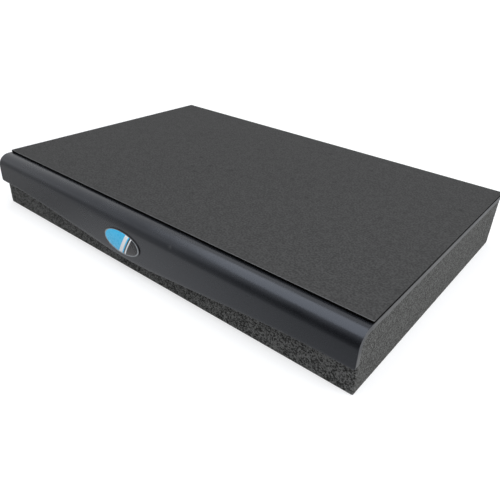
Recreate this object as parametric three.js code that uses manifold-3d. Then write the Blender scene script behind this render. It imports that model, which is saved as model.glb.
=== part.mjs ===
// Speaker isolation pad: a dense foam block under a bent steel plate, with a thin rubber sheet on top
// and an oval badge on the plate's front lip.
// Millimetres, +Z up. The origin is in the middle of the whole pad, badge included, on the surface that
// it stands on. The lip faces -Y, and X runs along it.

import * as THREE from 'three';
import { mergeVertices, toCreasedNormals } from 'three/addons/utils/BufferGeometryUtils.js';
import Module from 'manifold-3d';

const wasm = await Module();
wasm.setup();

// Overall size, from the lip's outer face to the back edge
const padWidth = 387;
const padDepth = 257.5;

// Foam block
const foamHeight = 44.5;
const foamSideInset = 0.5;         // the foam stops this far inside the plate's sides and back
const foamCornerRadius = 1;        // upright corners
const foamBottomRadius = 1;        // edges round the underside
const foamLipClearance = 0.3;      // between the foam's front and the lip's inner face
const foamBendEase = 1;            // the foam's top front edge is this much rounder than the inner bend

// Steel plate, folded down at the front over a large radius
const steelThickness = 4.76;
const bendInnerRadius = 6;
const plateCornerRadius = 1.5;     // the two back corners, seen from above

// Lip: its lower edge hangs in a shallow arch, made of a crown arc, straight flanks and shoulder arcs
const lipEndDrop = 25.3;           // from the plate's top down to the lip's lower edge at its ends
const lipCornerRadius = 2;
const lipEndFlat = 5;              // straight stretch at the end that is nearer to the arch
const archDrop = 11.5;             // how far the crown hangs below the ends
const archCentreX = -5;
const archCrownRadius = 350;
const archShoulderRadius = 800;

// Rubber sheet
const sheetThickness = 2;
const sheetSetback = 3.5;          // bare steel between the bend and the sheet's front edge
const sheetCornerRadius = 1;       // its two front corners

// Badge: an oval plate with a thin raised rim round a low dome
const badgeWidth = 42.6;
const badgeHeight = 20.4;
const badgeCentreX = -12;
const badgeCentreDrop = 22.6;      // from the plate's top down to the badge's middle
const badgeThickness = 1.2;        // at its rim
const badgeEdgeRadius = 0.3;
const badgeRimWidth = 0.8;
const badgePocketDepth = 0.4;
const badgeGrooveWidth = 0.25;     // between the rim and the dome
const badgeDomeRise = 0.8;         // from the pocket's floor to the middle of the dome

// Facets
const arcSegments = 8;
const ovalSegments = 24;
const domeRings = 6;
const cutMargin = 5;               // how far a cutting outline reaches past what it cuts
const creaseAngle = THREE.MathUtils.degToRad(30);
const weldDistance = 1e-4;

// Places worked out from the sizes
const badgeStand = badgeThickness - badgePocketDepth + badgeDomeRise;
const yLip = (badgeStand - padDepth) / 2;
const yBack = yLip + padDepth;
const xSide = padWidth / 2;
const bendOuterRadius = bendInnerRadius + steelThickness;
const yBend = yLip + bendOuterRadius;
const zSteelTop = foamHeight + steelThickness;
const zBend = zSteelTop - bendOuterRadius;
const zLipEnd = zSteelTop - lipEndDrop;
const zLipCrown = zLipEnd - archDrop;
const zTop = zSteelTop + sheetThickness;

// An outline drawn in one plane is extruded across it: each basis holds the row axes that stand for the
// outline's own x and y, and for the direction of the extrusion
const xAxis = new THREE.Vector3(1, 0, 0);
const yAxis = new THREE.Vector3(0, 1, 0);
const zAxis = new THREE.Vector3(0, 0, 1);
const sideOn = new THREE.Matrix4().makeBasis(yAxis, zAxis, xAxis);
const frontOn = new THREE.Matrix4().makeBasis(xAxis, zAxis, yAxis.clone().negate());
const fromAbove = new THREE.Matrix4().makeBasis(xAxis, yAxis, zAxis);

function prism(outline, length, basis, segments = arcSegments) {
  const geometry = new THREE.ExtrudeGeometry(outline, {
    depth: length,
    bevelEnabled: false,
    curveSegments: segments,
  });
  geometry.translate(0, 0, -length / 2);
  return geometry.applyMatrix4(basis);
}

function solidFrom(geometry) {
  const bare = geometry.clone();
  bare.deleteAttribute('normal');
  bare.deleteAttribute('uv');
  const welded = mergeVertices(bare, weldDistance);
  const corners = welded.getIndex().array;
  const triangles = [];
  for (let i = 0; i < corners.length; i += 3) {
    const [a, b, c] = corners.slice(i, i + 3);
    if (a !== b && b !== c && c !== a) triangles.push(a, b, c);
  }
  return new wasm.Manifold(new wasm.Mesh({
    numProp: 3,
    vertProperties: new Float32Array(welded.getAttribute('position').array),
    triVerts: new Uint32Array(triangles),
  }));
}

function geometryFrom(solid) {
  const mesh = solid.getMesh();
  const geometry = new THREE.BufferGeometry();
  geometry.setAttribute('position', new THREE.BufferAttribute(mesh.vertProperties, mesh.numProp));
  geometry.setIndex(new THREE.BufferAttribute(mesh.triVerts, 1));
  return toCreasedNormals(geometry, creaseAngle);
}

// A rectangle from its low to its high corner, with a radius for each corner:
// low left, low right, high right, high left. A radius is at most half of the shorter side.
function roundedRectangle(low, high, radii) {
  const limit = Math.min(high.x - low.x, high.y - low.y) / 2;
  const [lowLeft, lowRight, highRight, highLeft] = radii.map((radius) => Math.min(radius, limit));
  const outline = new THREE.Shape();
  outline.moveTo(low.x + lowLeft, low.y);
  outline.lineTo(high.x - lowRight, low.y);
  if (lowRight) outline.absarc(high.x - lowRight, low.y + lowRight, lowRight, -Math.PI / 2, 0);
  outline.lineTo(high.x, high.y - highRight);
  if (highRight) outline.absarc(high.x - highRight, high.y - highRight, highRight, 0, Math.PI / 2);
  outline.lineTo(low.x + highLeft, high.y);
  if (highLeft) outline.absarc(low.x + highLeft, high.y - highLeft, highLeft, Math.PI / 2, Math.PI);
  outline.lineTo(low.x, low.y + lowLeft);
  if (lowLeft) outline.absarc(low.x + lowLeft, low.y + lowLeft, lowLeft, Math.PI, Math.PI * 1.5);
  return outline;
}

// Foam block: its side view, front view and plan, each extruded right through, meet in one solid
function foamGeometry() {
  const xFoam = xSide - foamSideInset;
  const yFront = yLip + steelThickness + foamLipClearance;
  const yRear = yBack - foamSideInset;
  const topFrontRadius = bendInnerRadius + foamBendEase;
  const sideView = roundedRectangle(
    new THREE.Vector2(yFront, 0),
    new THREE.Vector2(yRear, foamHeight),
    [foamBottomRadius, foamBottomRadius, 0, topFrontRadius],
  );
  const frontView = roundedRectangle(
    new THREE.Vector2(-xFoam, 0),
    new THREE.Vector2(xFoam, foamHeight + cutMargin),
    [foamBottomRadius, foamBottomRadius, 0, 0],
  );
  const plan = roundedRectangle(
    new THREE.Vector2(-xFoam, yFront),
    new THREE.Vector2(xFoam, yRear),
    [foamCornerRadius, foamCornerRadius, foamCornerRadius, foamCornerRadius],
  );
  const side = solidFrom(prism(sideView, padWidth + cutMargin, sideOn));
  const front = solidFrom(prism(frontView, padDepth + cutMargin, frontOn));
  const above = solidFrom(prism(plan, (zTop + cutMargin) * 2, fromAbove));
  return geometryFrom(side.intersect(front).intersect(above));
}

// The plate's section: flat, bend and lip at one thickness
function plateSection() {
  const zBelow = zLipCrown - cutMargin;
  const outline = new THREE.Shape();
  outline.moveTo(yBack, zSteelTop);
  outline.absarc(yBend, zBend, bendOuterRadius, Math.PI / 2, Math.PI);
  outline.lineTo(yLip, zBelow);
  outline.lineTo(yLip + steelThickness, zBelow);
  outline.absarc(yBend, zBend, bendInnerRadius, Math.PI, Math.PI / 2, true);
  outline.lineTo(yBack, zSteelTop - steelThickness);
  return outline;
}

// The lip seen from the front. The flanks' slope follows from the arch's width, drop and radii:
// both arcs turn by the same angle, and the straight flank between them touches both.
function lipOutline() {
  const zAbove = zSteelTop + cutMargin;
  const halfWidth = xSide - Math.abs(archCentreX) - lipEndFlat;
  const radiusLimit = (halfWidth ** 2 + archDrop ** 2) / (2 * archDrop);
  const shrink = Math.min(1, radiusLimit / (archCrownRadius + archShoulderRadius));
  const crownRadius = archCrownRadius * shrink;
  const shoulderRadius = archShoulderRadius * shrink;
  const radii = crownRadius + shoulderRadius;
  const reach = Math.hypot(halfWidth, radii - archDrop);
  const slope = Math.asin(Math.min(1, radii / reach)) - Math.atan2(radii - archDrop, halfWidth);
  const up = Math.PI / 2;
  const down = -Math.PI / 2;
  const xLeft = archCentreX - halfWidth;
  const xRight = archCentreX + halfWidth;
  const corner = lipCornerRadius;

  const outline = new THREE.Shape();
  outline.moveTo(xSide, zAbove);
  outline.lineTo(-xSide, zAbove);
  outline.absarc(-xSide + corner, zLipEnd + corner, corner, Math.PI, Math.PI * 1.5);
  outline.absarc(xLeft, zLipEnd - shoulderRadius, shoulderRadius, up, up - slope, true);
  outline.absarc(archCentreX, zLipCrown + crownRadius, crownRadius, down - slope, down + slope);
  outline.absarc(xRight, zLipEnd - shoulderRadius, shoulderRadius, up + slope, up, true);
  outline.absarc(xSide - corner, zLipEnd + corner, corner, down, 0);
  return outline;
}

function plateGeometry() {
  const plan = roundedRectangle(
    new THREE.Vector2(-xSide, yLip - cutMargin),
    new THREE.Vector2(xSide, yBack),
    [0, 0, plateCornerRadius, plateCornerRadius],
  );
  const bent = solidFrom(prism(plateSection(), padWidth + cutMargin, sideOn));
  const lip = solidFrom(prism(lipOutline(), (padDepth + cutMargin) * 2, frontOn));
  const above = solidFrom(prism(plan, (zTop + cutMargin) * 2, fromAbove));
  return geometryFrom(bent.intersect(lip).intersect(above));
}

// Rubber sheet: it ends flush with the plate at the sides and back
function sheetGeometry() {
  const outline = roundedRectangle(
    new THREE.Vector2(-xSide, yBend + sheetSetback),
    new THREE.Vector2(xSide, yBack),
    [sheetCornerRadius, sheetCornerRadius, plateCornerRadius, plateCornerRadius],
  );
  return prism(outline, sheetThickness, fromAbove).translate(0, 0, zSteelTop + sheetThickness / 2);
}

// Badge, drawn lying flat with its back on the XY plane
function ovalOutline(inset) {
  const outline = new THREE.Shape();
  outline.absellipse(0, 0, badgeWidth / 2 - inset, badgeHeight / 2 - inset, 0, Math.PI * 2);
  return outline;
}

// The dome's half profile runs from the axis inside the badge's plate, out, up and over to the axis
function domeGeometry(pocketFloor) {
  const profile = [
    new THREE.Vector2(0, pocketFloor / 2),
    new THREE.Vector2(1, pocketFloor / 2),
  ];
  for (let ring = 0; ring < domeRings; ring += 1) {
    const angle = (ring / domeRings) * (Math.PI / 2);
    profile.push(new THREE.Vector2(Math.cos(angle), pocketFloor + badgeDomeRise * Math.sin(angle)));
  }
  profile.push(new THREE.Vector2(0, pocketFloor + badgeDomeRise));
  const inset = badgeRimWidth + badgeGrooveWidth;
  const dome = new THREE.LatheGeometry(profile, ovalSegments * 2);
  dome.rotateX(Math.PI / 2);
  return dome.scale(badgeWidth / 2 - inset, badgeHeight / 2 - inset, 1);
}

function badgeGeometry() {
  const edge = Math.min(badgeEdgeRadius, badgeRimWidth / 2, badgeThickness / 2);
  const plate = new THREE.ExtrudeGeometry(ovalOutline(edge), {
    depth: badgeThickness,
    bevelSize: edge,
    bevelThickness: edge,
    bevelSegments: 2,
    curveSegments: ovalSegments,
  });
  plate.translate(0, 0, -edge);
  const pocketFloor = badgeThickness - badgePocketDepth;
  const pocket = prism(ovalOutline(badgeRimWidth), badgeThickness, fromAbove, ovalSegments);
  pocket.translate(0, 0, pocketFloor + badgeThickness / 2);
  const rimmed = solidFrom(plate).trimByPlane([0, 0, 1], 0).subtract(solidFrom(pocket));
  return geometryFrom(rimmed.add(solidFrom(domeGeometry(pocketFloor))));
}

function finish(color, roughness, metalness) {
  return new THREE.MeshStandardMaterial({ color, roughness, metalness });
}

function piece(name, geometry, material) {
  const mesh = new THREE.Mesh(geometry, material);
  mesh.name = name;
  return mesh;
}

const pad = new THREE.Group();
pad.add(piece('foam_base', foamGeometry(), finish(0x3c3c3b, 0.95, 0)));
pad.add(piece('steel_plate', plateGeometry(), finish(0x35373b, 0.45, 0.3)));
pad.add(piece('rubber_top', sheetGeometry(), finish(0x434345, 0.9, 0)));

const badge = piece('front_badge', badgeGeometry(), finish(0x3f9bd8, 0.2, 0));
badge.rotation.x = Math.PI / 2;
badge.position.set(badgeCentreX, yLip, zSteelTop - badgeCentreDrop);
pad.add(badge);

export default pad;
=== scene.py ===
import math

import bpy
from mathutils import Matrix, Vector, noise


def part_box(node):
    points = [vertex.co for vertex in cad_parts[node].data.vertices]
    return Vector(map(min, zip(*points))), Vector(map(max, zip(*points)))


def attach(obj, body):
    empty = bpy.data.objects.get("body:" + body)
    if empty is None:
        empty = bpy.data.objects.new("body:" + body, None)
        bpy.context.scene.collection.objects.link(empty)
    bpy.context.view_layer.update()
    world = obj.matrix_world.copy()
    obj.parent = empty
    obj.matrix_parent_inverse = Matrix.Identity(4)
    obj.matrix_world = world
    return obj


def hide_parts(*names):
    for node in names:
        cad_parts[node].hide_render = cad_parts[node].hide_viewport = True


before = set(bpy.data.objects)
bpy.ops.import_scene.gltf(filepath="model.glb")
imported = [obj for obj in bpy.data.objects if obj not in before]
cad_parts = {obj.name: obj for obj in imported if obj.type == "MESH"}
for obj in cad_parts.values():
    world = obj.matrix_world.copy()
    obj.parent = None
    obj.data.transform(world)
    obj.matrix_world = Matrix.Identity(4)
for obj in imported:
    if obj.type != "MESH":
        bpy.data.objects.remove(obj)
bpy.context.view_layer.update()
print("frame loaded:", sorted(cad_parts))

mm = 0.001

# camera: where the photograph was taken from, worked out from the pad's straight edges
cameraSetup = {
    "position": (0.2756, -0.3347, 0.2272),
    "heading": 37.98,          # degrees turned left of straight ahead
    "tiltDown": 30.02,         # degrees below level
    "roll": -2.76,
    "focalPixels": 508.2,
    "framePixels": 500,
    "shiftPixelsUp": -6.4,
}


def makeCamera(setup):
    heading = math.radians(setup["heading"])
    tilt = math.radians(setup["tiltDown"])
    roll = math.radians(setup["roll"])
    ahead = (-math.sin(heading), math.cos(heading))
    forward = Vector((ahead[0] * math.cos(tilt), ahead[1] * math.cos(tilt), -math.sin(tilt)))
    level = forward.cross(Vector((0, 0, 1))).normalized()
    down = forward.cross(level)
    right = math.cos(roll) * level + math.sin(roll) * down
    up = math.sin(roll) * level - math.cos(roll) * down
    data = bpy.data.cameras.new("photoCamera")
    data.sensor_width = 36
    data.lens = setup["focalPixels"] / setup["framePixels"] * data.sensor_width
    data.shift_y = setup["shiftPixelsUp"] / setup["framePixels"]
    data.clip_start = 0.01
    camera = bpy.data.objects.new("photoCamera", data)
    turn = Matrix((right, up, -forward)).transposed().to_4x4()
    camera.matrix_world = Matrix.Translation(setup["position"]) @ turn
    bpy.context.scene.collection.objects.link(camera)
    bpy.context.scene.camera = camera


makeCamera(cameraSetup)
print("camera placed")


# mesh helpers

def meshObject(name, points, faces, material, sharpAngle=35):
    mesh = bpy.data.meshes.new(name)
    mesh.from_pydata([tuple(p) for p in points], [], faces)
    mesh.validate()
    mesh.shade_smooth()
    mesh.set_sharp_from_angle(angle=math.radians(sharpAngle))
    mesh.materials.append(material)
    piece = bpy.data.objects.new(name, mesh)
    bpy.context.scene.collection.objects.link(piece)
    return piece


def loft(loops):
    # joins closed loops of equal length into one closed skin, with a flat face at each end
    count = len(loops[0])
    points = [p for loop in loops for p in loop]
    faces = []
    for row in range(len(loops) - 1):
        a = row * count
        b = a + count
        for i in range(count):
            j = (i + 1) % count
            faces.append((a + i, a + j, b + j, b + i))
    last = (len(loops) - 1) * count
    faces.append(tuple(reversed(range(count))))
    faces.append(tuple(range(last, last + count)))
    return points, faces


def arcPoints(cx, cy, radius, start, end, steps):
    angles = [math.radians(start + (end - start) * k / steps) for k in range(steps + 1)]
    return [(cx + radius * math.cos(a), cy + radius * math.sin(a)) for a in angles]


def spread(start, end, steps):
    return [start + (end - start) * k / steps for k in range(steps + 1)]


# shader helpers

def newMaterial(name):
    material = bpy.data.materials.new(name)
    material.use_nodes = True
    material.node_tree.nodes.clear()
    return material, material.node_tree


def addNode(tree, kind, **settings):
    node = tree.nodes.new(kind)
    for key, value in settings.items():
        setattr(node, key, value)
    return node


def setInput(tree, node, key, value):
    if isinstance(value, bpy.types.NodeSocket):
        tree.links.new(value, node.inputs[key])
    else:
        node.inputs[key].default_value = value


def calc(tree, operation, a, b=0.0):
    node = addNode(tree, "ShaderNodeMath", operation=operation)
    setInput(tree, node, 0, a)
    setInput(tree, node, 1, b)
    return node.outputs[0]


def remap(tree, value, low, high, outLow=0.0, outHigh=1.0):
    node = addNode(tree, "ShaderNodeMapRange", interpolation_type="SMOOTHSTEP")
    setInput(tree, node, "Value", value)
    for key, number in (("From Min", low), ("From Max", high), ("To Min", outLow), ("To Max", outHigh)):
        setInput(tree, node, key, number)
    return node.outputs["Result"]


def mixColor(tree, factor, a, b):
    node = addNode(tree, "ShaderNodeMix", data_type="RGBA")
    setInput(tree, node, "Factor", factor)
    setInput(tree, node, 6, a)
    setInput(tree, node, 7, b)
    return node.outputs[2]


def grey(level, warm=0.0):
    return (level * (1 + warm), level, level * (1 - warm), 1)


def noiseAt(tree, place, scale, detail, roughness):
    node = addNode(tree, "ShaderNodeTexNoise", noise_dimensions="3D")
    setInput(tree, node, "Vector", place)
    setInput(tree, node, "Scale", scale)
    setInput(tree, node, "Detail", detail)
    setInput(tree, node, "Roughness", roughness)
    return node.outputs["Fac"]


def objectPlace(tree):
    return addNode(tree, "ShaderNodeTexCoord").outputs["Object"]


def placeAlong(tree, axis):
    # where a point lies along one of the pad's axes
    parts = addNode(tree, "ShaderNodeSeparateXYZ")
    setInput(tree, parts, 0, objectPlace(tree))
    return parts.outputs[axis]


def newGroup(name, inputs, outputs):
    tree = bpy.data.node_groups.new(name, "ShaderNodeTree")
    for label, kind, value in inputs:
        socket = tree.interface.new_socket(name=label, in_out="INPUT", socket_type=kind)
        socket.default_value = value
    for label, kind in outputs:
        tree.interface.new_socket(name=label, in_out="OUTPUT", socket_type=kind)
    return tree, tree.nodes.new("NodeGroupInput").outputs, tree.nodes.new("NodeGroupOutput").inputs


def useGroup(tree, group, **values):
    node = addNode(tree, "ShaderNodeGroup", node_tree=group)
    for key, value in values.items():
        setInput(tree, node, key, value)
    return node.outputs


def makeGrainGroup():
    # a fine and a coarse grain of the surface, as a height and as a tone
    tree, given, result = newGroup(
        "surfaceGrain",
        [("Fine", "NodeSocketFloat", 1500.0), ("Coarse", "NodeSocketFloat", 60.0),
         ("Share", "NodeSocketFloat", 0.5)],
        [("Height", "NodeSocketFloat"), ("Tone", "NodeSocketFloat")],
    )
    place = objectPlace(tree)
    fine = noiseAt(tree, place, given["Fine"], 2.0, 0.6)
    coarse = noiseAt(tree, place, given["Coarse"], 3.0, 0.55)
    mixed = calc(tree, "ADD", calc(tree, "MULTIPLY", coarse, given["Share"]),
                 calc(tree, "MULTIPLY", fine, calc(tree, "SUBTRACT", 1.0, given["Share"])))
    tree.links.new(fine, result["Height"])
    tree.links.new(mixed, result["Tone"])
    return tree


def makeSpeckGroup():
    # sparse specks of lint and dust
    tree, given, result = newGroup(
        "dustSpecks",
        [("Scale", "NodeSocketFloat", 300.0), ("Amount", "NodeSocketFloat", 0.1)],
        [("Mask", "NodeSocketFloat")],
    )
    cells = addNode(tree, "ShaderNodeTexVoronoi", feature="F1")
    setInput(tree, cells, "Vector", objectPlace(tree))
    setInput(tree, cells, "Scale", given["Scale"])
    lot = addNode(tree, "ShaderNodeSeparateColor")
    setInput(tree, lot, "Color", cells.outputs["Color"])
    chosen = calc(tree, "LESS_THAN", lot.outputs["Red"], given["Amount"])
    solidTo, goneBy = 0.12, 0.3  # distances from a speck's middle, in cells
    dot = remap(tree, cells.outputs["Distance"], solidTo, goneBy, 1.0, 0.0)
    tree.links.new(calc(tree, "MULTIPLY", chosen, dot), result["Mask"])
    return tree


def facing(tree, axis):
    # how far the surface faces along one of the pad's axes
    parts = addNode(tree, "ShaderNodeSeparateXYZ")
    setInput(tree, parts, 0, addNode(tree, "ShaderNodeNewGeometry").outputs["Normal"])
    return parts.outputs[axis]


def finishMaterial(tree, color, rough, height, bump, **plain):
    shader = addNode(tree, "ShaderNodeBsdfPrincipled")
    setInput(tree, shader, "Base Color", color)
    setInput(tree, shader, "Roughness", rough)
    for key, value in plain.items():
        setInput(tree, shader, key.replace("_", " "), value)
    lift = addNode(tree, "ShaderNodeBump")
    setInput(tree, lift, "Strength", bump[0])
    setInput(tree, lift, "Distance", bump[1])
    setInput(tree, lift, "Height", height)
    tree.links.new(lift.outputs["Normal"], shader.inputs["Normal"])
    out = addNode(tree, "ShaderNodeOutputMaterial")
    tree.links.new(shader.outputs["BSDF"], out.inputs["Surface"])


grainGroup = makeGrainGroup()
speckGroup = makeSpeckGroup()


# foam block

foam = {
    "name": "foamBlock",
    "cornerRadius": 1.0 * mm,
    "bottomRadius": 1.0 * mm,
    "frontTopRadius": 7.0 * mm,
    "cell": 1.1 * mm,            # spacing of the mesh on the cut sides
    "cornerSteps": 4,
    "bottomSteps": 3,
    "frontTopSteps": 8,
    "poreDepth": 0.2 * mm,
    "topFade": 2.0 * mm,         # below the top, where the hollows get shallower
    "poreSize": 1.12 * mm,
    "lumpSize": 4.5 * mm,
    "poreShare": 0.85,           # of the height, the rest is the lumps
    "poreToWall": (0.39, 0.62),  # heights between which a pore turns into wall
    "poreColor": (0.021, 0.021, 0.020, 1),
    "wallColor": (0.178, 0.178, 0.174, 1),
    "sideColor": (0.079, 0.076, 0.069, 1),
    "sideFacing": 0.7,           # from here on a surface counts as an end face
    "sideFiner": 0.2,            # how much finer the pores are on the two end faces
    "sideEven": 0.32,            # how much of their contrast is gone there
    "roughness": 0.95,
    "bump": (0.6, 1.0 * mm),     # strength and distance
}


def foamMaterial(values):
    material, tree = newMaterial("foamOpenCell")
    place = objectPlace(tree)
    endFace = calc(tree, "GREATER_THAN", calc(tree, "ABSOLUTE", facing(tree, "X")), values["sideFacing"])
    finer = calc(tree, "ADD", 1.0, calc(tree, "MULTIPLY", endFace, values["sideFiner"]))
    even = calc(tree, "MULTIPLY", endFace, values["sideEven"])
    pores = noiseAt(tree, place, calc(tree, "MULTIPLY", finer, 1 / values["poreSize"]), 2.0, 0.6)
    lumps = noiseAt(tree, place, 1 / values["lumpSize"], 2.0, 0.5)
    share = values["poreShare"]
    height = calc(tree, "ADD", calc(tree, "MULTIPLY", pores, share),
                  calc(tree, "MULTIPLY", lumps, 1 - share))
    wall = remap(tree, height, *values["poreToWall"])
    cells = mixColor(tree, wall, values["poreColor"], values["wallColor"])
    color = mixColor(tree, even, cells, values["sideColor"])
    relief = calc(tree, "MULTIPLY", height, calc(tree, "SUBTRACT", 1.0, even))
    finishMaterial(tree, color, values["roughness"], relief, values["bump"], Specular_IOR_Level=0.12)
    return material


def roundedLoop(xHalf, yFront, yBack, radius, alongX, alongY, alongCorner):
    # points and outward directions round a rectangle with round corners, starting at the front left
    xIn, yNear, yFar = xHalf - radius, yFront + radius, yBack - radius
    corners = ((xIn, yNear, -90), (xIn, yFar, 0), (-xIn, yFar, 90), (-xIn, yNear, 180))
    sides = (
        ((-xIn, yFront), (xIn, yFront), alongX, (0, -1)),
        ((xHalf, yNear), (xHalf, yFar), alongY, (1, 0)),
        ((xIn, yBack), (-xIn, yBack), alongX, (0, 1)),
        ((-xHalf, yFar), (-xHalf, yNear), alongY, (-1, 0)),
    )
    loop = []
    for (start, end, steps, out), (cx, cy, turn) in zip(sides, corners):
        for k in range(steps):
            x = start[0] + (end[0] - start[0]) * k / steps
            y = start[1] + (end[1] - start[1]) * k / steps
            loop.append((x, y, out[0], out[1]))
        for k in range(alongCorner):
            a = math.radians(turn + 90 * k / alongCorner)
            loop.append((cx + radius * math.cos(a), cy + radius * math.sin(a), math.cos(a), math.sin(a)))
    return loop


def foamHollow(point, size):
    # how deep the cut surface dips at a point, from 0 to 1: a usual depth, with coarse and fine swings
    elsewhere = Vector((7.3, 1.9, 4.4))
    coarse = noise.noise(point / size)
    fine = noise.noise(point / (size * 0.5) + elsewhere)
    return min(1.0, max(0.0, 0.45 + 0.9 * coarse + 0.5 * fine))


def makeFoam(values):
    low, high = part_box("foam_base")
    height = high.z
    radius = values["bottomRadius"]
    frontTop = values["frontTopRadius"]
    alongX = round((high.x - low.x) / values["cell"])
    alongY = round((high.y - low.y) / values["cell"])
    levels = []                  # height, inset all round, and how far the front leans back
    for angle in spread(0, 90, values["bottomSteps"]):
        a = math.radians(angle)
        levels.append((radius * (1 - math.cos(a)), radius * (1 - math.sin(a)), 0.0))
    plainTop = height - frontTop
    steps = round((plainTop - radius) / values["cell"])
    levels += [(z, 0.0, 0.0) for z in spread(radius, plainTop, steps)[1:]]
    for rise in spread(0, frontTop, values["frontTopSteps"])[1:]:
        levels.append((plainTop + rise, 0.0, frontTop - math.sqrt(max(0.0, frontTop ** 2 - rise ** 2))))
    loops = []
    for z, inset, frontBack in levels:
        loop = roundedLoop(high.x - inset, low.y + inset + frontBack, high.y - inset,
                           values["cornerRadius"], alongX, alongY, values["cornerSteps"])
        depth = values["poreDepth"] * min(1.0, z / radius) * min(1.0, (height - z) / values["topFade"])
        ring = []
        for x, y, outX, outY in loop:
            dip = depth * foamHollow(Vector((x, y, z)), values["poreSize"])
            ring.append((x - outX * dip, y - outY * dip, z))
        loops.append(ring)
    points, faces = loft(loops)
    piece = meshObject(values["name"], points, faces, foamMaterial(values), 60)
    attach(piece, "root")
    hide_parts("foam_base")


makeFoam(foam)
print("foam block made")


# steel plate

steel = {
    "name": "steelPlate",
    "thickness": 4.76 * mm,
    "bendOuterRadius": 10.76 * mm,
    "edgeRadius": 0.6 * mm,
    "backCornerRadius": 1.5 * mm,
    "lipCornerRadius": 2.0 * mm,
    "lipEndDrop": 25.3 * mm,
    "lipEndFlat": 5.0 * mm,
    "archDrop": 11.5 * mm,
    "archCentreX": -5.0 * mm,
    "archCrownRadius": 350 * mm,
    "archShoulderRadius": 800 * mm,
    "stationSpacing": 3.0 * mm,
    "flatSteps": 24,
    "lipSteps": 8,
    "bendSteps": 24,
    "innerBendSteps": 16,
    "edgeSteps": 4,
    "cornerSteps": 6,
    "grain": {"Fine": 1100.0, "Coarse": 34.0, "Share": 0.6},
    "specks": {"Scale": 120.0, "Amount": 0.05},
    "speckTone": 0.06,
    "speckShare": 0.35,
    "coat": (0.0048, 0.0052, 0.0066, 1),
    "coatPale": (0.0075, 0.0080, 0.0096, 1),
    "coatGrain": (0.35, 0.65),   # grain tones between which the coat turns pale
    "cutEdge": (0.059, 0.057, 0.053, 1),
    "cutEdgeShadedBack": (0.034, 0.034, 0.033, 1),
    "cutFacing": (0.8, 0.98),    # how far sideways a surface faces to count as cut
    "cutShadeFade": (-60 * mm, 120 * mm),         # painted shade along the sides, from the front tone to the darker back one
    "bendDim": 0.6,              # how much of the cut edge's tone is gone round the bend
    "bendFade": (-117 * mm, -108 * mm),      # behind the bend
    "lipFade": (30 * mm, 38 * mm),           # below the bend
    "roughness": (0.21, 0.30),
    "cutRoughness": 0.3,         # added on the cut edges
    "bump": (0.12, 0.15 * mm),
}


def steelMaterial(values):
    material, tree = newMaterial("steelPowderCoat")
    grain = useGroup(tree, grainGroup, **values["grain"])
    specks = useGroup(tree, speckGroup, **values["specks"])["Mask"]
    cut = remap(tree, calc(tree, "ABSOLUTE", facing(tree, "X")), *values["cutFacing"])
    pale = remap(tree, grain["Tone"], *values["coatGrain"])
    coat = mixColor(tree, pale, values["coat"], values["coatPale"])
    speckled = calc(tree, "MULTIPLY", specks, values["speckShare"])
    dusty = mixColor(tree, speckled, coat, grey(values["speckTone"]))
    y, z = placeAlong(tree, "Y"), placeAlong(tree, "Z")
    # painted shade: the cut edges turn darker towards the back
    backShade = remap(tree, y, *values["cutShadeFade"])
    sideTone = mixColor(tree, backShade, values["cutEdge"], values["cutEdgeShadedBack"])
    atBend = calc(tree, "MULTIPLY", remap(tree, y, *values["bendFade"], 1.0, 0.0),
                  remap(tree, z, *values["lipFade"]))
    dimmed = calc(tree, "MULTIPLY", atBend, values["bendDim"])
    cutColor = mixColor(tree, dimmed, sideTone, values["coatPale"])
    color = mixColor(tree, cut, dusty, cutColor)
    wornAndHighlit = remap(tree, grain["Tone"], 0.3, 0.7, *values["roughness"])
    rough = calc(tree, "ADD", wornAndHighlit, calc(tree, "MULTIPLY", cut, values["cutRoughness"]))
    finishMaterial(tree, color, rough, grain["Height"], values["bump"], Specular_Tint=(0.81, 0.87, 1.0, 1))
    return material


def archHeight(x, values, xSide, zEnd):
    # lower edge of the lip: straight ends, shoulder arcs, straight flanks and a crown arc
    drop = values["archDrop"]
    centre = values["archCentreX"]
    halfWidth = xSide - abs(centre) - values["lipEndFlat"]
    crown, shoulder = values["archCrownRadius"], values["archShoulderRadius"]
    radii = crown + shoulder
    reach = math.hypot(halfWidth, radii - drop)
    slope = math.asin(radii / reach) - math.atan2(radii - drop, halfWidth)
    away = abs(x - centre)
    if away >= halfWidth:
        return zEnd
    if away >= halfWidth - shoulder * math.sin(slope):
        run = halfWidth - away
        return zEnd - (shoulder - math.sqrt(shoulder ** 2 - run ** 2))
    if away <= crown * math.sin(slope):
        return zEnd - drop + crown - math.sqrt(crown ** 2 - away ** 2)
    crownEnd = crown * math.sin(slope)
    return zEnd - drop + crown * (1 - math.cos(slope)) + (away - crownEnd) * math.tan(slope)


def cornerLift(x, xSide, radius):
    run = abs(x) - (xSide - radius)
    return radius - math.sqrt(max(0.0, radius ** 2 - run ** 2)) if run > 0 else 0.0


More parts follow.
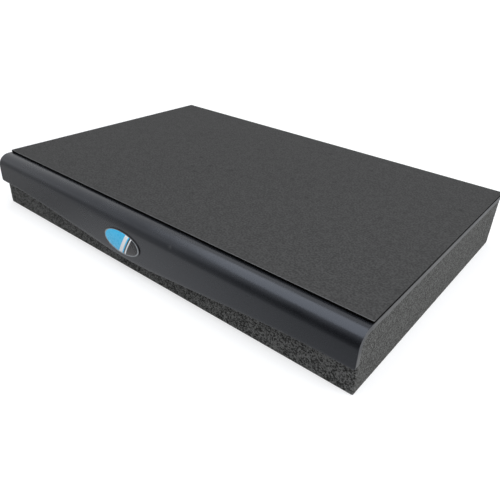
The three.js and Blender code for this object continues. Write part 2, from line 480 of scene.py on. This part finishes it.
def plateSection(values, yLip, yBack, zTop, zLow, inset):
    # the section's outline in Y and Z, drawn in by the inset, anticlockwise seen from +X
    t = values["thickness"]
    outer = values["bendOuterRadius"]
    inner = outer - t
    edge = max(values["edgeRadius"] - inset, 0.02 * mm)
    cy, cz = yLip + outer, zTop - outer
    y0, y1 = yLip + inset, yLip + t - inset
    back = yBack - inset
    top, under = zTop - inset, zTop - t + inset
    bottom = zLow + inset
    flatSteps, lipSteps, edgeSteps = values["flatSteps"], values["lipSteps"], values["edgeSteps"]
    outline = arcPoints(back - edge, top - edge, edge, 0, 90, edgeSteps)
    outline += [(y, top) for y in spread(back - edge, cy, flatSteps)[1:-1]]
    outline += arcPoints(cy, cz, outer - inset, 90, 180, values["bendSteps"])
    outline += [(y0, z) for z in spread(cz, bottom + edge, lipSteps)[1:-1]]
    outline += arcPoints(y0 + edge, bottom + edge, edge, 180, 270, edgeSteps)
    outline += arcPoints(y1 - edge, bottom + edge, edge, 270, 360, edgeSteps)
    outline += [(y1, z) for z in spread(bottom + edge, cz, lipSteps)[1:-1]]
    outline += arcPoints(cy, cz, inner + inset, 180, 90, values["innerBendSteps"])
    outline += [(y, under) for y in spread(cy, back - edge, flatSteps)[1:-1]]
    outline += arcPoints(back - edge, under + edge, edge, 270, 360, edgeSteps)
    return outline


def makeSteel(values):
    low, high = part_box("steel_plate")
    xSide, zTop = high.x, high.z
    yLip, yBack = low.y, high.y
    zEnd = zTop - values["lipEndDrop"]
    edge = values["edgeRadius"]
    corner = values["lipCornerRadius"]
    body = xSide - edge
    turns = [math.radians(angle) for angle in spread(0, 90, values["cornerSteps"])]
    stations = [(body + edge * math.cos(a), edge * (1 - math.sin(a))) for a in turns]
    stations += [(body - (corner - edge) * (1 - math.cos(a)), 0.0) for a in turns[1:]]
    inside = stations[-1][0]
    count = round(2 * inside / values["stationSpacing"])
    middle = [(x, 0.0) for x in spread(inside, -inside, count)[1:-1]]
    mirrored = [(-x, inset) for x, inset in reversed(stations)]
    loops = []
    for x, inset in stations + middle + mirrored:
        zLow = archHeight(x, values, xSide, zEnd) + cornerLift(x, xSide, corner)
        back = yBack - cornerLift(x, xSide, values["backCornerRadius"])
        section = plateSection(values, yLip, back, zTop, zLow, inset)
        loops.append([(x, y, z) for y, z in section])
    points, faces = loft(loops)
    faces = [tuple(reversed(face)) for face in faces]
    piece = meshObject(values["name"], points, faces, steelMaterial(values), 40)
    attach(piece, "root")
    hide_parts("steel_plate")


makeSteel(steel)
print("steel plate made")


# rubber sheet

rubber = {
    "name": "rubberSheet",
    "frontCornerRadius": 1.0 * mm,
    "edgeRadius": 0.5 * mm,
    "edgeSteps": 4,
    "cornerSteps": 5,
    "alongX": 60,
    "alongY": 40,
    "grain": {"Fine": 680.0, "Coarse": 160.0, "Share": 0.2},
    "specks": {"Scale": 95.0, "Amount": 0.06},
    "speckShare": 0.4,
    "speckDim": 0.55,            # a speck's tone as a share of the rubber's
    "tone": 0.0505,
    "toneSpread": 0.22,          # how far the grain goes each side of the tone
    "toneGrain": (0.36, 0.64),   # grain tones between which the rubber turns pale
    "warm": 0.012,
    "edgeHighlightTone": 0.16,            # tone of the painted highlight along the front edge
    "highlightUpward": (0.8, 0.99),   # the painted highlight lies where the surface faces up by this much
    "highlightForward": (-0.3, -0.08),            # and forward by this much
    # near-black sides of the sheet: darker cut rubber, with painted shade on top
    "cutAndShadeTone": 0.001,
    "cutShadeUpward": (0.3, 0.7),
    "roughness": 0.82,
    "bump": (0.25, 0.25 * mm),
}


def rubberMaterial(values):
    material, tree = newMaterial("rubberMatt")
    grain = useGroup(tree, grainGroup, **values["grain"])
    specks = useGroup(tree, speckGroup, **values["specks"])["Mask"]
    upward = facing(tree, "Z")
    middle, swing, warm = values["tone"], values["toneSpread"], values["warm"]
    pale = remap(tree, grain["Tone"], *values["toneGrain"])
    tone = mixColor(tree, pale, grey(middle * (1 - swing), warm), grey(middle * (1 + swing), warm))
    speckled = calc(tree, "MULTIPLY", specks, values["speckShare"])
    dusty = mixColor(tree, speckled, tone, grey(middle * values["speckDim"]))
    # painted highlight: a pale line along the front edge, where light would catch the rounded edge
    frontEdgeHighlight = calc(tree, "MULTIPLY", remap(tree, upward, *values["highlightUpward"], 1.0, 0.0),
                     remap(tree, facing(tree, "Y"), *values["highlightForward"], 1.0, 0.0))
    wornAndHighlit = mixColor(tree, frontEdgeHighlight, dusty, grey(values["edgeHighlightTone"]))
    # the sheet's sides get darker cut rubber, taken down to near black with painted shade
    color = mixColor(tree, remap(tree, upward, *values["cutShadeUpward"]), grey(values["cutAndShadeTone"]), wornAndHighlit)
    finishMaterial(tree, color, values["roughness"], grain["Height"], values["bump"],
                   Specular_IOR_Level=0.04)
    return material


def makeRubber(values):
    low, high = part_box("rubber_top")
    edge = values["edgeRadius"]
    levels = [(low.z, 0.0)]
    for angle in spread(0, 90, values["edgeSteps"]):
        a = math.radians(angle)
        levels.append((high.z - edge + edge * math.sin(a), edge * (1 - math.cos(a))))
    loops = []
    for z, inset in levels:
        loop = roundedLoop(high.x - inset, low.y + inset, high.y - inset, values["frontCornerRadius"],
                           values["alongX"], values["alongY"], values["cornerSteps"])
        loops.append([(x, y, z) for x, y, _, _ in loop])
    points, faces = loft(loops)
    piece = meshObject(values["name"], points, faces, rubberMaterial(values), 40)
    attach(piece, "root")
    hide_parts("rubber_top")


makeRubber(rubber)
print("rubber sheet made")


# badge

badge = {
    "name": "ovalBadge",
    "rimWidth": 0.8 * mm,
    "grooveWidth": 0.25 * mm,
    "rimHeight": 0.7 * mm,
    "edgeRadius": 0.3 * mm,
    "pocketDepth": 0.25 * mm,
    "bevel": 0.1 * mm,
    "around": 96,
    "edgeSteps": 3,
    "domeSteps": 12,
    "blue": (0.055, 0.60, 1.0, 1),
    "charcoal": (0.024, 0.024, 0.028, 1),
    "stripe": (0.97, 0.98, 1.0, 1),
    "rim": (0.36, 0.38, 0.40, 1),
    # painted shade: near black on the badge's outer wall and the outer edge of its rim
    "rimWallShade": (0.010, 0.010, 0.012, 1),
    "rimFrom": (0.90, 0.92),     # as shares of the way out from the middle
    "rimWallShadeFrom": (0.955, 0.975),
    "slant": 0.55,               # how far the stripes lean, sideways for each step up
    "charcoalFrom": 6.6 * mm,    # right of the badge's middle
    "stripes": ((3.4 * mm, 1.9 * mm), (8.6 * mm, 0.7 * mm)),   # middle and half width of each
    "blur": 0.12 * mm,
    "grain": {"Fine": 900.0, "Coarse": 120.0, "Share": 0.5},
    "roughness": (0.24, 0.34),
    "bump": (0.03, 0.05 * mm),
}


def badgeMaterial(values, centre, halfWidth, halfHeight):
    material, tree = newMaterial("badgePrinted")
    along = calc(tree, "SUBTRACT", placeAlong(tree, "X"), centre.x)
    above = calc(tree, "SUBTRACT", placeAlong(tree, "Z"), centre.z)
    lean = calc(tree, "SUBTRACT", along, calc(tree, "MULTIPLY", above, values["slant"]))
    blur, change = values["blur"], values["charcoalFrom"]
    charcoalSide = remap(tree, lean, change - blur, change + blur)
    color = mixColor(tree, charcoalSide, values["blue"], values["charcoal"])
    for middle, half in values["stripes"]:
        away = calc(tree, "ABSOLUTE", calc(tree, "SUBTRACT", lean, middle))
        color = mixColor(tree, remap(tree, away, half - blur, half + blur, 1.0, 0.0), color, values["stripe"])
    ratioX = calc(tree, "POWER", calc(tree, "DIVIDE", calc(tree, "ABSOLUTE", along), halfWidth), 2.0)
    ratioZ = calc(tree, "POWER", calc(tree, "DIVIDE", calc(tree, "ABSOLUTE", above), halfHeight), 2.0)
    radial = calc(tree, "SQRT", calc(tree, "ADD", ratioX, ratioZ))
    color = mixColor(tree, remap(tree, radial, *values["rimFrom"]), color, values["rim"])
    # painted shade round the badge's outer edge
    color = mixColor(tree, remap(tree, radial, *values["rimWallShadeFrom"]), color, values["rimWallShade"])
    grain = useGroup(tree, grainGroup, **values["grain"])
    rough = remap(tree, grain["Tone"], 0.3, 0.7, *values["roughness"])
    finishMaterial(tree, color, rough, grain["Height"], values["bump"], Specular_IOR_Level=0.35)
    return material


def makeBadge(values):
    low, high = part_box("front_badge")
    centre = (low + high) / 2
    halfWidth, halfHeight = (high.x - low.x) / 2, (high.z - low.z) / 2
    stand = high.y - low.y
    rim, edge = values["rimHeight"], values["edgeRadius"]
    floor = rim - values["pocketDepth"]
    rings = [(0.0, 0.0)]
    for angle in spread(0, 90, values["edgeSteps"]):
        a = math.radians(angle)
        rings.append((edge * (1 - math.cos(a)), rim - edge + edge * math.sin(a)))
    inner, bevel = values["rimWidth"], values["bevel"]
    rings += [(inner - bevel, rim), (inner, rim - bevel), (inner, floor)]
    dome = inner + values["grooveWidth"]
    rings.append((dome, floor))
    turns = spread(0, 2 * math.pi, values["around"])[:-1]
    loops = []
    for inset, out in rings:
        wide, tall = halfWidth - inset, halfHeight - inset
        loops.append([(wide * math.cos(t), out, tall * math.sin(t)) for t in turns])
    for angle in spread(0, 90, values["domeSteps"])[1:-1]:
        a = math.radians(angle)
        wide, tall = (halfWidth - dome) * math.cos(a), (halfHeight - dome) * math.cos(a)
        out = floor + (stand - floor) * math.sin(a)
        loops.append([(wide * math.cos(t), out, tall * math.sin(t)) for t in turns])
    placed = [[(centre.x + x, high.y - out, centre.z + z) for x, out, z in loop] for loop in loops]
    points, faces = loft(placed)
    material = badgeMaterial(values, centre, halfWidth, halfHeight)
    piece = meshObject(values["name"], points, faces, material, 40)
    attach(piece, "root")
    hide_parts("front_badge")


makeBadge(badge)
print("badge made")


# studio: floor, light and background

studio = {
    "floorSize": 12.0,
    "floorTone": 0.5,
    "floorGlow": 0.56,
    "farGlow": 0.9,            # added where the floor is far from the pad
    "farReach": (0.35, 1.3),   # distances from the pad's middle between which it is added
    "skyLevel": 0.3,
    "topLamp": {"at": (0.1, -0.28, 1.3), "aim": (0.1, -0.28, 0), "size": (2.1, 1.7), "watts": 26.0},
    "sideLamp": {"at": (1.5, 0.15, 0.55), "aim": (0, 0, 0.03), "size": (0.9, 0.8), "watts": 11.0},
    "lampColor": (0.93, 0.96, 1.0),
    "flagRadius": 1.1,
    "flagNear": 0.135,         # where the card starts on the floor, in front of the pad
    "flagTo": 45,              # degrees above level where it ends
    "flagHalfLength": 2.5,
    "flagLift": 1 * mm,        # above the floor
    "flagLean": 0.75,          # how much the sideways run leans with the distance forward
    "flagGlow": {"nearLeft": 0.445, "nearMiddle": 0.97, "nearFade": 0.8,
                 "left": 0.72, "leftFade": 0.7, "right": 0.1, "rise": 0.72},
    "flagRuns": {"start": (-0.24, -0.135), "nearRise": (-0.18, -0.03), "nearFade": (0.03, 0.18),
                 "across": (-0.05, 0.5), "leftFade": (-0.35, -0.08), "rise": (0.2, 0.85)},
}


def seenDirectly(tree):
    # 1 for rays from the camera and for what gloss and glass show
    path = addNode(tree, "ShaderNodeLightPath")
    shown = calc(tree, "MAXIMUM", path.outputs["Is Camera Ray"], path.outputs["Is Glossy Ray"])
    return calc(tree, "MAXIMUM", shown, path.outputs["Is Transmission Ray"])


def makeWorld(values):
    world = bpy.data.worlds.new("studioWorld")
    world.use_nodes = True
    tree = world.node_tree
    tree.nodes.clear()
    dim = addNode(tree, "ShaderNodeBackground")
    setInput(tree, dim, "Strength", values["skyLevel"])
    white = addNode(tree, "ShaderNodeBackground")
    setInput(tree, white, "Color", (1, 1, 1, 1))
    both = addNode(tree, "ShaderNodeMixShader")
    tree.links.new(seenDirectly(tree), both.inputs[0])
    tree.links.new(dim.outputs[0], both.inputs[1])
    tree.links.new(white.outputs[0], both.inputs[2])
    setInput(tree, dim, "Color", (1, 1, 1, 1))
    tree.links.new(both.outputs[0], addNode(tree, "ShaderNodeOutputWorld").inputs["Surface"])
    bpy.context.scene.world = world


def makeFloor(values):
    material, tree = newMaterial("floorPale")
    shader = addNode(tree, "ShaderNodeBsdfPrincipled")
    setInput(tree, shader, "Base Color", grey(values["floorTone"]))
    setInput(tree, shader, "Roughness", 0.9)
    setInput(tree, shader, "Specular IOR Level", 0.0)
    setInput(tree, shader, "Emission Color", (1, 1, 1, 1))
    apart = addNode(tree, "ShaderNodeVectorMath", operation="LENGTH")
    setInput(tree, apart, 0, objectPlace(tree))
    nearGlow = values["floorGlow"]
    farGlow = nearGlow + values["farGlow"]
    glow = remap(tree, apart.outputs["Value"], *values["farReach"], nearGlow, farGlow)
    setInput(tree, shader, "Emission Strength", calc(tree, "MULTIPLY", seenDirectly(tree), glow))
    tree.links.new(shader.outputs[0], addNode(tree, "ShaderNodeOutputMaterial").inputs["Surface"])
    half = values["floorSize"] / 2
    corners = [(-half, -half, 0), (half, -half, 0), (half, half, 0), (-half, half, 0)]
    floor = meshObject("studioFloor", corners, [(0, 1, 2, 3)], material)


def flagLevel(tree, values):
    # the card's brightness: one run of tones where it starts and another across the rest
    tones, runs = values["flagGlow"], values["flagRuns"]
    x, y, z = placeAlong(tree, "X"), placeAlong(tree, "Y"), placeAlong(tree, "Z")
    start = remap(tree, y, *runs["start"])
    near = calc(tree, "MULTIPLY", remap(tree, x, *runs["nearRise"], tones["nearLeft"], tones["nearMiddle"]),
                remap(tree, x, *runs["nearFade"], 1.0, tones["nearFade"]))
    slant = calc(tree, "SUBTRACT", x, calc(tree, "MULTIPLY", y, values["flagLean"]))
    across = calc(tree, "MULTIPLY", remap(tree, slant, *runs["across"], tones["left"], tones["right"]),
                  remap(tree, slant, *runs["leftFade"], tones["leftFade"], 1.0))
    rest = calc(tree, "ADD", across, remap(tree, z, *runs["rise"], 0.0, tones["rise"]))
    return calc(tree, "ADD", calc(tree, "MULTIPLY", start, near),
                calc(tree, "MULTIPLY", calc(tree, "SUBTRACT", 1.0, start), rest))


def makeFlag(values):
    # a dark card that lies in front of the pad and curves up from the floor, seen only in reflections
    material, tree = newMaterial("flagDark")
    radius, lift, half = values["flagRadius"], values["flagLift"], values["flagHalfLength"]
    glow = addNode(tree, "ShaderNodeEmission")
    setInput(tree, glow, "Strength", flagLevel(tree, values))
    tree.links.new(glow.outputs[0], addNode(tree, "ShaderNodeOutputMaterial").inputs["Surface"])
    profile = [(y, lift) for y in spread(-values["flagNear"], -radius, 12)[:-1]]
    profile += [(-radius * math.cos(math.radians(a)), lift + radius * math.sin(math.radians(a)))
                for a in spread(0, values["flagTo"], 16)]
    points = [(x, y, z) for y, z in profile for x in (-half, half)]
    faces = [(2 * k, 2 * k + 1, 2 * k + 3, 2 * k + 2) for k in range(len(profile) - 1)]
    flag = meshObject("studioFlag", points, faces, material)
    for ray in ("camera", "diffuse", "transmission", "shadow", "volume_scatter"):
        setattr(flag, "visible_" + ray, False)


def makeLamp(name, values, color):
    light = bpy.data.lights.new(name, "AREA")
    light.shape = "RECTANGLE"
    light.size, light.size_y = values["size"]
    light.energy = values["watts"]
    light.color = color
    lamp = bpy.data.objects.new(name, light)
    bpy.context.scene.collection.objects.link(lamp)
    place = Vector(values["at"])
    lamp.location = place
    lamp.rotation_euler = (Vector(values["aim"]) - place).to_track_quat("-Z", "Y").to_euler()


makeWorld(studio)
makeFloor(studio)
makeFlag(studio)
for lampName in ("topLamp", "sideLamp"):
    makeLamp(lampName, studio[lampName], studio["lampColor"])
bpy.context.scene.view_settings.view_transform = "Standard"
print("studio made")
